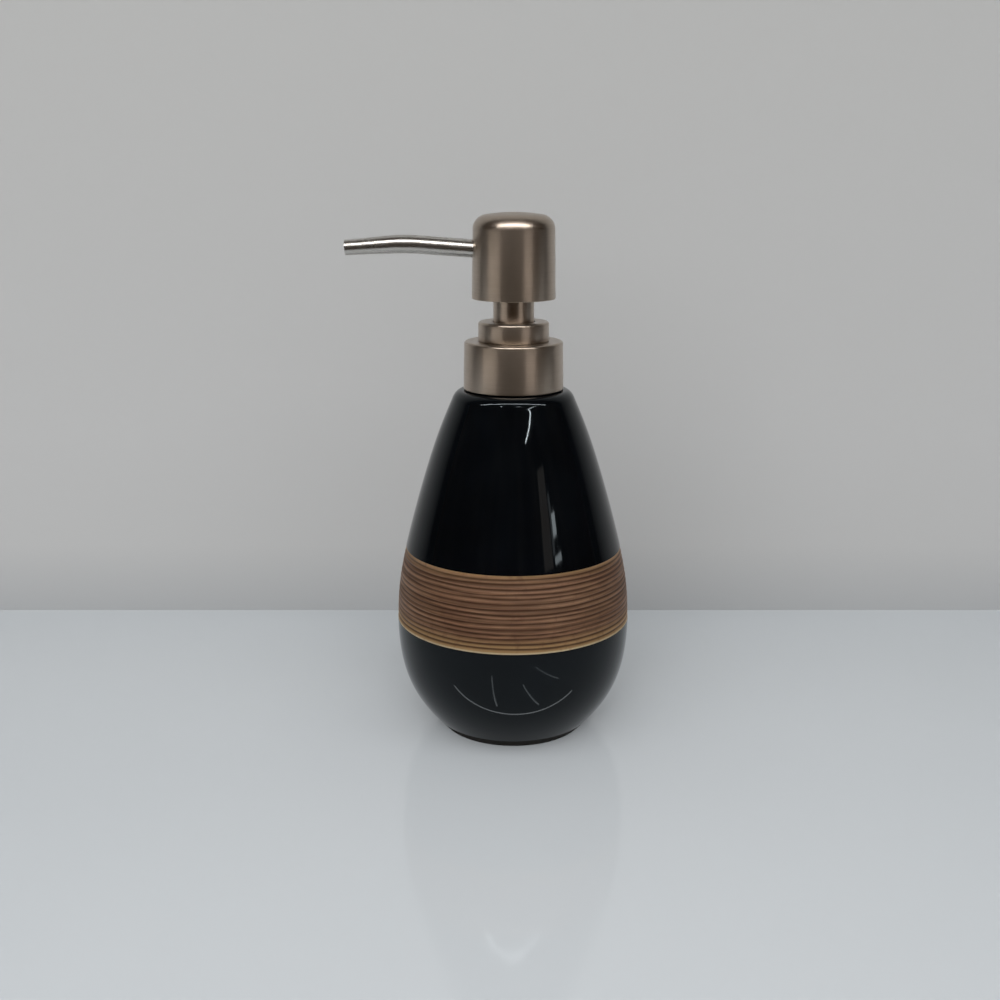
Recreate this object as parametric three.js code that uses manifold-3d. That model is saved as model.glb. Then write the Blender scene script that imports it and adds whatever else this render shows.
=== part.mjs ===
// Soap pump dispenser: a glazed ceramic bottle with a screw-on, metal-clad lotion pump.
// Millimetres, +Z up. The origin is the centre of the flat foot that the bottle stands on,
// the pump axis is Z, and the spout points along -X.
import * as THREE from "three";
import { mergeVertices } from "three/addons/utils/BufferGeometryUtils.js";
import Module from "manifold-3d";

const wasm = await Module();
wasm.setup();

// ---------------------------------------------------------------- driving dimensions (mm)

// ceramic bottle
const BODY_RADIUS = 40;
const BODY_HEIGHT = 118.3;
const FOOT_RADIUS = 24.1;
const WALL = 4.6;
const FLOOR_THICKNESS = 6;
const NECK_BORE = 13.5;
const NECK_BORE_BOTTOM = 111;
const RIM_RADIUS = 17.9;

// neck insert and its thread
const THREAD_PITCH = 4.2333;
const INSERT_BORE = 11;
const INSERT_SKIRT = 13.2;
const INSERT_BOTTOM = 108.8;
const INSERT_TOP = 128.8;
const INSERT_FLANGE = 15.3;
const MALE_ROOT = 12.6;
const MALE_CREST = 13.35;
const FEMALE_ROOT = 14.2;
const FEMALE_CREST = 13.6;
const THREAD_TURNS = 1.4;
const THREAD_START = BODY_HEIGHT + 3.2;
const MALE_RIDGE = 1.1;
const FEMALE_RIDGE = 0.95;
const INSERT_FLANGE_HEIGHT = 1.4;
const CEMENT_BOTTOM = 111.6;
const CEMENT_TOP = 117.4;

// closure: plastic nut inside a metal shell
const CLOSURE_BOTTOM = 118.7;
const CLOSURE_TOP = 134.5;
const CLOSURE_RADIUS_LOW = 16.63;
const CLOSURE_RADIUS_HIGH = 16.34;
const CLOSURE_FILLET = 0.85;
const CLOSURE_INSIDE = 15.75;
const CLOSURE_EYE = 10;
const NUT_RADIUS = 15.6;
const NUT_BOTTOM = 120.1;
const NUT_CEILING = 131.45;
const SHELL_TOP_WALL = 0.5;

// chaplet: the small collar that the stem runs through
const CHAPLET_BOTTOM = CLOSURE_TOP + 0.1;
const CHAPLET_TOP = 140.9;
const CHAPLET_RADIUS = 11.72;
const CHAPLET_FILLET = 0.9;
const CHAPLET_EYE = 7.05;
const CHAPLET_WALL = 0.45;
const CHAPLET_CEILING_GAP = 1.75;

// pump cylinder
const CYLINDER_TOP = 134.2;
const UPPER_BORE = 7.3;
const UPPER_RADIUS = 8.45;
const UPPER_BOTTOM = 119.4;
const PISTON_BORE = 6;
const PISTON_BARREL = 7.2;
const BARREL_BOTTOM = 74;
const FLANGE_RADIUS = 13.2;
const FLANGE_BOTTOM = 130.1;
const FLANGE_TOP = 131.3;
const SEAT_HOLE = 1.4;
const SEAT_HEIGHT = 68.2;
const SPIGOT_BOTTOM = 60;
const SPIGOT_RADIUS = 4.5;
const SPIGOT_TOP = 66;
const BARREL_SHOULDER = 70.5;
const VENT_RADIUS = 0.8;

// valves, spring, piston and stem
const INLET_BALL = 2.4;
const INLET_BALL_HEIGHT = 70.32;
const OUTLET_BALL = 2;
const CAGE_THICKNESS = 1.2;
const CAGE_BOTTOM = BARREL_BOTTOM + 0.05;
const CAGE_HOLE = 1.3;
const CAGE_SLOT = 0.75;
const SPRING_RADIUS = 4.3;
const SPRING_WIRE = 0.45;
const SPRING_TURNS = 7;
const ROD_RADIUS = 3;
const ROD_BORE = 1.6;
const ROD_BOTTOM = 101;
const ROD_TOP = 151;
const ROD_FOOT_RADIUS = 5.2;
const ROD_FOOT_HEIGHT = 2.4;
const PORT_RADIUS = 0.9;
const PISTON_BOTTOM = 107.6;
const PISTON_HEIGHT = 7.6;
const TUBE_RADIUS = 3;
const TUBE_BORE = 2.1;
const TUBE_BOTTOM = 9.5;
const TUBE_TOP = 67;
const TUBE_SLANT = 35;

// head
const SLEEVE_RADIUS = 6.74;
const SLEEVE_WALL = 0.5;
const SLEEVE_BOTTOM = 133;
const CORE_COLUMN_BOTTOM = 141;
const CORE_DISC_BOTTOM = 155;
const CORE_DISC_TOP = 172;
const CORE_DISC_RADIUS = 12.5;
const HEAD_BOTTOM = 148.3;
const HEAD_TOP = 176;
const HEAD_RADIUS_LOW = 13.74;
const HEAD_RADIUS_HIGH = 13.4;
const HEAD_FILLET = 4.8;
const HEAD_CROWN = 0.7;
const HEAD_WALL = 0.75;

// spout
const SPOUT_RADIUS = 2.95;
const SPOUT_BORE = 2.2;
const SPOUT_HEIGHT = 164.4;
const SPOUT_ROOT_X = -7.2;
const SPOUT_BEND_X = -35.4;
const SPOUT_TIP_X = -54.8;
const SPOUT_RISE = 1.6;
const SPOUT_DROP = 1.3;
const SPOUT_BEND_REACH = 5;

// smallest play between pieces that are pushed or screwed together
const PLAY = 0.05;
const ROUND_LARGE = 40;
const ROUND_SMALL = 24;
const ROUND_TINY = 16;

// ---------------------------------------------------------------- shape helpers

const rz = (r, z) => new THREE.Vector2(r, z);

// Points of an arc in the (radius, height) plane, angles in degrees from +radius.
function arc(centreR, centreZ, radius, from, to, steps) {
  const points = [];
  for (let i = 0; i <= steps; i++) {
    const angle = THREE.MathUtils.degToRad(from + ((to - from) * i) / steps);
    points.push(rz(centreR + radius * Math.cos(angle), centreZ + radius * Math.sin(angle)));
  }
  return points;
}

// A solid of revolution about Z. The outline runs up its outer side.
function revolve(outline, segments, closesOnItself = true) {
  const points = closesOnItself ? [...outline, outline[0].clone()] : outline;
  return new THREE.LatheGeometry(points, segments).rotateX(Math.PI / 2);
}

// A plain ring or tube between two radii and two heights.
function ring(inner, outer, bottom, top, segments) {
  return revolve([rz(inner, bottom), rz(outer, bottom), rz(outer, top), rz(inner, top)], segments);
}

// A round bar along Z or, tipped over, along -X.
function bar(radius, length, segments = ROUND_TINY) {
  return new THREE.CylinderGeometry(radius, radius, length, segments).rotateX(Math.PI / 2);
}

function roundSection(radius, sides) {
  const section = new THREE.Shape();
  for (let i = 0; i < sides; i++) {
    const angle = (2 * Math.PI * i) / sides;
    const [x, y] = [radius * Math.cos(angle), radius * Math.sin(angle)];
    if (i === 0) section.moveTo(x, y);
    else section.lineTo(x, y);
  }
  section.closePath();
  return section;
}

function sweep(section, path, steps) {
  return new THREE.ExtrudeGeometry(section, { steps, bevelEnabled: false, extrudePath: path });
}

class Helix extends THREE.Curve {
  constructor(radius, bottom, rise, turns) {
    super();
    Object.assign(this, { radius, bottom, rise, turns });
  }
  getPoint(t, target = new THREE.Vector3()) {
    const angle = 2 * Math.PI * this.turns * t;
    const z = this.bottom + this.rise * t;
    return target.set(this.radius * Math.cos(angle), this.radius * Math.sin(angle), z);
  }
}

// three.js geometry to a manifold solid and back
function solid(geometry) {
  const bare = geometry.index ? geometry.toNonIndexed() : geometry.clone();
  bare.deleteAttribute("normal");
  bare.deleteAttribute("uv");
  const merged = mergeVertices(bare, 1e-4);
  const mesh = new wasm.Mesh({
    numProp: 3,
    vertProperties: merged.attributes.position.array,
    triVerts: new Uint32Array(merged.index.array),
  });
  return new wasm.Manifold(mesh);
}

function geometryOf(made) {
  const mesh = made.getMesh();
  const geometry = new THREE.BufferGeometry();
  geometry.setAttribute("position", new THREE.BufferAttribute(mesh.vertProperties, 3));
  geometry.setIndex(new THREE.BufferAttribute(mesh.triVerts, 1));
  geometry.computeVertexNormals();
  return geometry;
}

// ---------------------------------------------------------------- materials

const material = (color, roughness, metalness) =>
  new THREE.MeshStandardMaterial({ color, roughness, metalness });

const GLAZE = material(0x0b0c0d, 0.12, 0);
const NICKEL = material(0x9a8b7b, 0.32, 1);
const STEEL = material(0xb9b6b0, 0.25, 1);
const SPRING_STEEL = material(0x9aa0a4, 0.3, 1);
const WHITE_PLASTIC = material(0xe6e6e0, 0.45, 0);
const NATURAL_PLASTIC = material(0xd6dad8, 0.35, 0);
const BLACK_PLASTIC = material(0x1b1c1e, 0.45, 0);
const FOAM = material(0xf0efe9, 0.9, 0);
const SILICONE = material(0xc9c7bd, 0.6, 0);

const dispenser = new THREE.Group();
dispenser.name = "soap_pump_dispenser";

function add(name, geometry, look) {
  const mesh = new THREE.Mesh(geometry, look);
  mesh.name = name;
  dispenser.add(mesh);
}

// ---------------------------------------------------------------- bottle

// Outer side of the bottle from the foot to the rim: full belly low down, straight shoulder.
function bodyOutside() {
  const belly = new THREE.SplineCurve([
    rz(FOOT_RADIUS + 0.9, 0.7),
    rz(30.4, 6.8),
    rz(36.85, 18),
    rz(39.45, 29.2),
    rz(BODY_RADIUS, 39.8),
    rz(39.25, 51.5),
    rz(37.2, 62.7),
    rz(34.4, 73.9),
    rz(29.6, 90.7),
    rz(23.8, 107.5),
    rz(20.9, 114.4),
  ]);
  return [rz(FOOT_RADIUS, 0), ...belly.getPoints(20), rz(19.6, 117.1), rz(RIM_RADIUS, BODY_HEIGHT)];
}

// Hollow inside, from the neck bore down to the centre of the floor.
function bodyInside() {
  const hollow = new THREE.SplineCurve([
    rz(NECK_BORE + 0.6, NECK_BORE_BOTTOM - 0.8),
    rz(27.6 - WALL, 96.8),
    rz(34.4 - WALL, 74),
    rz(39.2 - WALL, 52),
    rz(BODY_RADIUS - WALL, 39.8),
    rz(38.4 - WALL, 24),
    rz(30, 12.5),
    rz(21, FLOOR_THICKNESS),
  ]);
  return [
    rz(NECK_BORE, BODY_HEIGHT),
    rz(NECK_BORE, NECK_BORE_BOTTOM),
    ...hollow.getPoints(13),
    rz(0, FLOOR_THICKNESS),
  ];
}

add("ceramic_bottle", revolve([rz(0, 0), ...bodyOutside(), ...bodyInside()], ROUND_LARGE, false), GLAZE);

// Half-round thread ridge whose crest stands at crestRadius.
function threadRidge(centreRadius, sectionRadius) {
  const rise = THREAD_PITCH * THREAD_TURNS;
  const path = new Helix(centreRadius, THREAD_START, rise, THREAD_TURNS);
  return sweep(roundSection(sectionRadius, 6), path, 24);
}

// Threaded ferrule cemented into the neck: ceramic can't hold a moulded thread.
function neckInsert() {
  const flangeBottom = BODY_HEIGHT + PLAY;
  const flangeTop = flangeBottom + INSERT_FLANGE_HEIGHT;
  const ferrule = revolve(
    [
      rz(INSERT_BORE, INSERT_BOTTOM),
      rz(INSERT_SKIRT, INSERT_BOTTOM),
      rz(INSERT_SKIRT, flangeBottom),
      rz(INSERT_FLANGE, flangeBottom),
      rz(INSERT_FLANGE, flangeTop),
      rz(MALE_ROOT, flangeTop),
      rz(MALE_ROOT, INSERT_TOP),
      rz(INSERT_BORE, INSERT_TOP),
    ],
    ROUND_LARGE,
  );
  const ridge = threadRidge(MALE_CREST - MALE_RIDGE, MALE_RIDGE);
  return geometryOf(solid(ferrule).add(solid(ridge)));
}

add("neck_insert", neckInsert(), BLACK_PLASTIC);
const cement = ring(INSERT_SKIRT + PLAY, NECK_BORE - PLAY, CEMENT_BOTTOM, CEMENT_TOP, ROUND_LARGE);
add("insert_cement", cement, SILICONE);

// ---------------------------------------------------------------- closure

add(
  "closure_gasket",
  ring(INSERT_BORE + 0.2, MALE_ROOT + 0.5, INSERT_TOP + PLAY, FLANGE_BOTTOM - PLAY, ROUND_SMALL),
  FOAM,
);

function closureNut() {
  const top = CLOSURE_TOP - 0.6;
  const nut = revolve(
    [
      rz(FEMALE_ROOT, NUT_BOTTOM),
      rz(NUT_RADIUS, NUT_BOTTOM),
      rz(NUT_RADIUS, top),
      rz(CLOSURE_EYE, top),
      rz(CLOSURE_EYE, NUT_CEILING),
      rz(FEMALE_ROOT, NUT_CEILING),
    ],
    ROUND_LARGE,
  );
  const ridge = threadRidge(FEMALE_CREST + FEMALE_RIDGE, FEMALE_RIDGE);
  return geometryOf(solid(nut).add(solid(ridge)));
}

add("closure_nut", closureNut(), BLACK_PLASTIC);

// Metal cup over the nut: slightly tapered, with a rounded top edge.
function closureShell() {
  const filletR = CLOSURE_RADIUS_HIGH - CLOSURE_FILLET;
  return revolve(
    [
      rz(CLOSURE_INSIDE, CLOSURE_BOTTOM),
      rz(CLOSURE_RADIUS_LOW - 0.2, CLOSURE_BOTTOM),
      rz(CLOSURE_RADIUS_LOW, CLOSURE_BOTTOM + 0.2),
      ...arc(filletR, CLOSURE_TOP - CLOSURE_FILLET, CLOSURE_FILLET, 0, 90, 3),
      rz(CLOSURE_EYE, CLOSURE_TOP),
      rz(CLOSURE_EYE, CLOSURE_TOP - SHELL_TOP_WALL),
      rz(CLOSURE_INSIDE, CLOSURE_TOP - SHELL_TOP_WALL),
    ],
    ROUND_LARGE,
  );
}

add("closure_shell", closureShell(), NICKEL);

// ---------------------------------------------------------------- chaplet

// Plastic collar that snaps over the cylinder top and holds the closure and the stem seal.
function chaplet() {
  const outside = CHAPLET_RADIUS - 0.6;
  const top = CHAPLET_TOP - 0.6;
  const ceiling = CYLINDER_TOP + CHAPLET_CEILING_GAP;
  const neckOutside = CLOSURE_EYE - 0.25;
  const neckBottom = FLANGE_TOP + 0.2;
  return revolve(
    [
      rz(UPPER_RADIUS + 0.15, neckBottom),
      rz(neckOutside, neckBottom),
      rz(neckOutside, CHAPLET_BOTTOM + 0.1),
      rz(outside, CHAPLET_BOTTOM + 0.1),
      rz(outside, top - 0.5),
      rz(outside - 0.5, top),
      rz(CHAPLET_EYE, top),
      rz(CHAPLET_EYE, ceiling),
      rz(UPPER_RADIUS + 0.15, ceiling),
    ],
    ROUND_SMALL,
  );
}

add("chaplet", chaplet(), BLACK_PLASTIC);

function chapletShell() {
  const wall = CHAPLET_WALL;
  const filletR = CHAPLET_RADIUS - CHAPLET_FILLET;
  return revolve(
    [
      rz(CHAPLET_RADIUS - wall, CHAPLET_BOTTOM),
      rz(CHAPLET_RADIUS, CHAPLET_BOTTOM),
      ...arc(filletR, CHAPLET_TOP - CHAPLET_FILLET, CHAPLET_FILLET, 0, 90, 3),
      rz(CHAPLET_EYE, CHAPLET_TOP),
      rz(CHAPLET_EYE, CHAPLET_TOP - wall),
      rz(CHAPLET_RADIUS - wall - 0.45, CHAPLET_TOP - wall),
      rz(CHAPLET_RADIUS - wall, CHAPLET_TOP - wall - 0.45),
    ],
    ROUND_LARGE,
  );
}

add("chaplet_shell", chapletShell(), NICKEL);

const sealTop = CYLINDER_TOP + CHAPLET_CEILING_GAP - 0.1;
const stemSeal = ring(SLEEVE_RADIUS + 0.1, UPPER_RADIUS, CYLINDER_TOP + PLAY, sealTop, ROUND_SMALL);
add("stem_seal", stemSeal, SILICONE);

// ---------------------------------------------------------------- pump cylinder

// Stepped barrel: flange, wide upper bore for the stem, piston bore, ball seat, tube spigot.
function pumpCylinder() {
  const socket = TUBE_RADIUS + 0.1;
  const chamber = INLET_BALL + 1;
  const seatTop = SEAT_HEIGHT + chamber - SEAT_HOLE;
  const barrel = revolve(
    [
      rz(socket, SPIGOT_BOTTOM),
      rz(SPIGOT_RADIUS, SPIGOT_BOTTOM),
      rz(SPIGOT_RADIUS, SPIGOT_TOP),
      rz(PISTON_BARREL, BARREL_SHOULDER),
      rz(PISTON_BARREL, UPPER_BOTTOM - 2),
      rz(UPPER_RADIUS, UPPER_BOTTOM),
      rz(UPPER_RADIUS, FLANGE_BOTTOM),
      rz(FLANGE_RADIUS, FLANGE_BOTTOM),
      rz(FLANGE_RADIUS, FLANGE_TOP),
      rz(UPPER_RADIUS, FLANGE_TOP),
      rz(UPPER_RADIUS, CYLINDER_TOP),
      rz(UPPER_BORE, CYLINDER_TOP),
      rz(UPPER_BORE, UPPER_BOTTOM),
      rz(PISTON_BORE, UPPER_BOTTOM - 1.2),
      rz(PISTON_BORE, BARREL_BOTTOM),
      rz(chamber, BARREL_BOTTOM),
      rz(chamber, seatTop),
      rz(SEAT_HOLE, SEAT_HEIGHT),
      rz(SEAT_HOLE, TUBE_TOP + 0.3),
      rz(socket, TUBE_TOP + 0.3),
    ],
    ROUND_SMALL,
  );
  const vent = bar(VENT_RADIUS, 6, 8).rotateY(Math.PI / 2).translate(PISTON_BARREL, 0, UPPER_BOTTOM - 3.4);
  return geometryOf(solid(barrel).subtract(solid(vent)));
}

add("pump_cylinder", pumpCylinder(), NATURAL_PLASTIC);

// Dip tube, cut slanting at the bottom so that it can't seal itself on the floor.
function dipTube() {
  const tube = ring(TUBE_BORE, TUBE_RADIUS, TUBE_BOTTOM, TUBE_TOP, ROUND_TINY);
  const slant = THREE.MathUtils.degToRad(TUBE_SLANT);
  const reach = 3 * TUBE_RADIUS;
  const cutter = new THREE.BoxGeometry(2 * reach, 2 * reach, 2 * reach).rotateY(-slant);
  cutter.translate(reach * Math.sin(slant) - TUBE_RADIUS, 0, TUBE_BOTTOM - reach * Math.cos(slant));
  return geometryOf(solid(tube).subtract(solid(cutter)));
}

add("dip_tube", dipTube(), NATURAL_PLASTIC);

// ---------------------------------------------------------------- valves and spring

function ball(radius, height) {
  return new THREE.SphereGeometry(radius, 14, 9).rotateX(Math.PI / 2).translate(0, 0, height);
}

add("inlet_ball", ball(INLET_BALL, INLET_BALL_HEIGHT), STEEL);

// Slotted disc over the inlet ball: it limits the ball's lift and seats the spring.
function ballCage() {
  const cage = ring(CAGE_HOLE, PISTON_BORE - 0.15, CAGE_BOTTOM, CAGE_BOTTOM + CAGE_THICKNESS, ROUND_SMALL);
  let made = solid(cage);
  for (let i = 0; i < 4; i++) {
    const slot = bar(CAGE_SLOT, 4, 8).translate(CAGE_HOLE + 1.4, 0, CAGE_BOTTOM);
    slot.rotateZ(Math.PI / 4 + (i * Math.PI) / 2);
    made = made.subtract(solid(slot));
  }
  return geometryOf(made);
}

add("ball_cage", ballCage(), WHITE_PLASTIC);

function returnSpring() {
  const bottom = CAGE_BOTTOM + CAGE_THICKNESS + PLAY + SPRING_WIRE;
  const top = ROD_BOTTOM - PLAY - SPRING_WIRE;
  const path = new Helix(SPRING_RADIUS, bottom, top - bottom, SPRING_TURNS);
  return sweep(roundSection(SPRING_WIRE, 6), path, SPRING_TURNS * 10);
}

add("return_spring", returnSpring(), SPRING_STEEL);

// ---------------------------------------------------------------- piston and stem

// Cup piston with a lip at each end that wipes the bore.
function pistonSeal() {
  const lip = PISTON_BORE - 0.12;
  const waist = lip - 1.3;
  const inside = ROD_RADIUS + 0.12;
  const top = PISTON_BOTTOM + PISTON_HEIGHT;
  return revolve(
    [
      rz(inside, PISTON_BOTTOM),
      rz(lip - 1, PISTON_BOTTOM),
      rz(lip, PISTON_BOTTOM + 0.3),
      rz(lip, PISTON_BOTTOM + 1.2),
      rz(waist, PISTON_BOTTOM + 2),
      rz(waist, top - 2),
      rz(lip, top - 1.2),
      rz(lip, top - 0.3),
      rz(lip - 1, top),
      rz(inside, top),
    ],
    ROUND_SMALL,
  );
}

add("piston_seal", pistonSeal(), WHITE_PLASTIC);

// Hollow stem: closed foot that the spring lifts, cross ports under the piston, open top.
function pistonRod() {
  const footTop = ROD_BOTTOM + ROD_FOOT_HEIGHT;
  const rod = revolve(
    [
      rz(0, ROD_BOTTOM),
      rz(ROD_FOOT_RADIUS, ROD_BOTTOM),
      rz(ROD_FOOT_RADIUS, footTop),
      rz(ROD_RADIUS, footTop + 1),
      rz(ROD_RADIUS, ROD_TOP),
      rz(ROD_BORE, ROD_TOP),
      rz(ROD_BORE, footTop + 0.4),
      rz(0, footTop + 0.4),
    ],
    ROUND_SMALL,
    false,
  );
  const ports = bar(PORT_RADIUS, 4 * ROD_RADIUS, 8).rotateY(Math.PI / 2).translate(0, 0, footTop + 2.4);
  return geometryOf(solid(rod).subtract(solid(ports)));
}

add("piston_rod", pistonRod(), WHITE_PLASTIC);

const sleeveInside = SLEEVE_RADIUS - SLEEVE_WALL;
const sleeveTop = CORE_DISC_BOTTOM - PLAY;
add("stem_sleeve", ring(sleeveInside, SLEEVE_RADIUS, SLEEVE_BOTTOM, sleeveTop, ROUND_SMALL), NICKEL);

const outletHeight = ROD_TOP + Math.sqrt(OUTLET_BALL ** 2 - ROD_BORE ** 2) + 0.12;
add("outlet_ball", ball(OUTLET_BALL, outletHeight), STEEL);

// ---------------------------------------------------------------- spout and head

// Centreline of the spout: nearly level, rising a little and dropping after a soft bend.
function spoutPath(fromX, toX) {
  const slope = SPOUT_RISE / (SPOUT_BEND_X + HEAD_RADIUS_HIGH);
  const rootZ = SPOUT_HEIGHT + slope * (fromX + HEAD_RADIUS_HIGH);
  const bendZ = SPOUT_HEIGHT + SPOUT_RISE;
  const reach = SPOUT_BEND_REACH;
  const path = new THREE.CurvePath();
  const root = new THREE.Vector3(fromX, 0, rootZ);
  const bendStart = new THREE.Vector3(SPOUT_BEND_X + reach, 0, bendZ + slope * reach);
  const bend = new THREE.Vector3(SPOUT_BEND_X, 0, bendZ);
  const fall = SPOUT_DROP / (SPOUT_BEND_X - SPOUT_TIP_X);
  const bendEnd = new THREE.Vector3(SPOUT_BEND_X - reach, 0, bendZ - fall * reach);
  const tip = new THREE.Vector3(toX, 0, bendZ - fall * (SPOUT_BEND_X - toX));
  path.add(new THREE.LineCurve3(root, bendStart));
  path.add(new THREE.QuadraticBezierCurve3(bendStart, bend, bendEnd));
  path.add(new THREE.LineCurve3(bendEnd, tip));
  return path;
}

// A round bar along the spout's centreline.
const spoutBar = (radius, fromX, toX = SPOUT_TIP_X) =>
  sweep(roundSection(radius, ROUND_TINY), spoutPath(fromX, toX), 12);

function spoutTube() {
  const tube = solid(spoutBar(SPOUT_RADIUS, SPOUT_ROOT_X));
  const bore = spoutBar(SPOUT_BORE, SPOUT_ROOT_X + 3, SPOUT_TIP_X - 3);
  return geometryOf(tube.subtract(solid(bore)));
}

add("spout_tube", spoutTube(), STEEL);

// Plastic core of the head: stem socket, outlet valve chamber and the channel to the spout.
function actuatorCore() {
  const column = sleeveInside - 0.1;
  const socket = ROD_RADIUS + 0.1;
  const chamber = OUTLET_BALL + 0.7;
  const chamberTop = outletHeight + OUTLET_BALL + 1.2;
  const body = revolve(
    [
      rz(0, SPOUT_HEIGHT),
      rz(ROD_BORE, SPOUT_HEIGHT),
      rz(ROD_BORE, chamberTop),
      rz(chamber, chamberTop),
      rz(chamber, ROD_TOP + 0.2),
      rz(socket, ROD_TOP + 0.2),
      rz(socket, CORE_COLUMN_BOTTOM),
      rz(column, CORE_COLUMN_BOTTOM),
      rz(column, CORE_DISC_BOTTOM),
      rz(CORE_DISC_RADIUS, CORE_DISC_BOTTOM),
      rz(CORE_DISC_RADIUS, CORE_DISC_TOP - 3),
      rz(CORE_DISC_RADIUS - 3, CORE_DISC_TOP),
      rz(0, CORE_DISC_TOP),
    ],
    ROUND_SMALL,
    false,
  );
  const socketBar = spoutBar(SPOUT_RADIUS + 0.12, SPOUT_ROOT_X + 0.3);
  const channel = bar(ROD_BORE, 9).rotateY(Math.PI / 2).translate(-4.5, 0, SPOUT_HEIGHT - ROD_BORE);
  return geometryOf(solid(body).subtract(solid(socketBar)).subtract(solid(channel)));
}

add("actuator_core", actuatorCore(), BLACK_PLASTIC);

// Metal cap of the head: tapered wall, rounded edge, slightly crowned top.
function actuatorShell() {
  const edgeZ = HEAD_TOP - HEAD_CROWN;
  const filletR = HEAD_RADIUS_HIGH - HEAD_FILLET;
  const innerFillet = HEAD_FILLET - HEAD_WALL;
  const inside = HEAD_RADIUS_HIGH - HEAD_WALL;
  const cap = revolve(
    [
      rz(0, HEAD_TOP - HEAD_WALL),
      rz(filletR, edgeZ - HEAD_WALL),
      ...arc(filletR, edgeZ - HEAD_FILLET, innerFillet, 90, 0, 3).slice(1),
      rz(inside + 0.15, HEAD_BOTTOM),
      rz(HEAD_RADIUS_LOW - 0.25, HEAD_BOTTOM),
      rz(HEAD_RADIUS_LOW, HEAD_BOTTOM + 0.25),
      ...arc(filletR, edgeZ - HEAD_FILLET, HEAD_FILLET, 0, 90, 6),
      rz(0, HEAD_TOP),
    ],
    ROUND_LARGE,
    false,
  );
  const opening = spoutBar(SPOUT_RADIUS + 0.12, SPOUT_ROOT_X);
  return geometryOf(solid(cap).subtract(solid(opening)));
}

add("actuator_shell", actuatorShell(), NICKEL);

export default dispenser;
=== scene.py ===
"""Soap pump dispenser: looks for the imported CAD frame. Metres, +Z up, spout towards -X."""

import math
import random

import bpy
import numpy as np
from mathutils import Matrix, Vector


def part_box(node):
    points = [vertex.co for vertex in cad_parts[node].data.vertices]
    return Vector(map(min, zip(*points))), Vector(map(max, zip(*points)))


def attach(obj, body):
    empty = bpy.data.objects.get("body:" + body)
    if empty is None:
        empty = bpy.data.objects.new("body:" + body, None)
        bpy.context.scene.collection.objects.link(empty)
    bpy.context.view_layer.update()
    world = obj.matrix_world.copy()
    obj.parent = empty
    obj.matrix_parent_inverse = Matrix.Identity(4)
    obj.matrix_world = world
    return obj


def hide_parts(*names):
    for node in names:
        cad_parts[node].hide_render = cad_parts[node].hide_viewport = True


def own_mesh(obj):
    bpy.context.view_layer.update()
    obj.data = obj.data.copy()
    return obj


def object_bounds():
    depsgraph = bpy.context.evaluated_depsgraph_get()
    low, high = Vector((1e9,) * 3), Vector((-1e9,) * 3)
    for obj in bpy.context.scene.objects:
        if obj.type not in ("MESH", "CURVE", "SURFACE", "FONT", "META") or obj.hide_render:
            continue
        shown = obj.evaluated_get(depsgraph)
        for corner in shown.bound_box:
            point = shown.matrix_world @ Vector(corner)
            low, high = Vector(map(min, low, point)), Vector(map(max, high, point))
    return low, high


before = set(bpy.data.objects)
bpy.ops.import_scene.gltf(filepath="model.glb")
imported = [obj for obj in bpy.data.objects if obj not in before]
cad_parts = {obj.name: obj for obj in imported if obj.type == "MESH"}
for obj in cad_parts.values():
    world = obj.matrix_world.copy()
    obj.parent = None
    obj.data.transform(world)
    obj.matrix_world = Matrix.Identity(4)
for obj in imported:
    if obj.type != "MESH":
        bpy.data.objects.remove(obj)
cad_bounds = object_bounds()
MM = 0.001
TAU = 2 * math.pi


# ------------------------------------------------------------------ camera

# The camera's place and lens were fitted to the photo.
CAMERA_DISTANCE = 0.4112  # in front of the pump axis
CAMERA_HEIGHT = 0.1878
CAMERA_SIDE = -0.0045
CAMERA_PITCH = math.radians(14.69)
CAMERA_LENS = 44.77  # mm on a 36 mm sensor


def make_camera():
    data = bpy.data.cameras.new("camera")
    data.lens = CAMERA_LENS
    data.sensor_width = 36
    data.clip_start = 0.01
    camera = bpy.data.objects.new("camera", data)
    camera.location = (CAMERA_SIDE, -CAMERA_DISTANCE, CAMERA_HEIGHT)
    camera.rotation_euler = (math.pi / 2 - CAMERA_PITCH, 0, 0)
    bpy.context.collection.objects.link(camera)
    bpy.context.scene.camera = camera


# ------------------------------------------------------------------ material nodes

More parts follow.
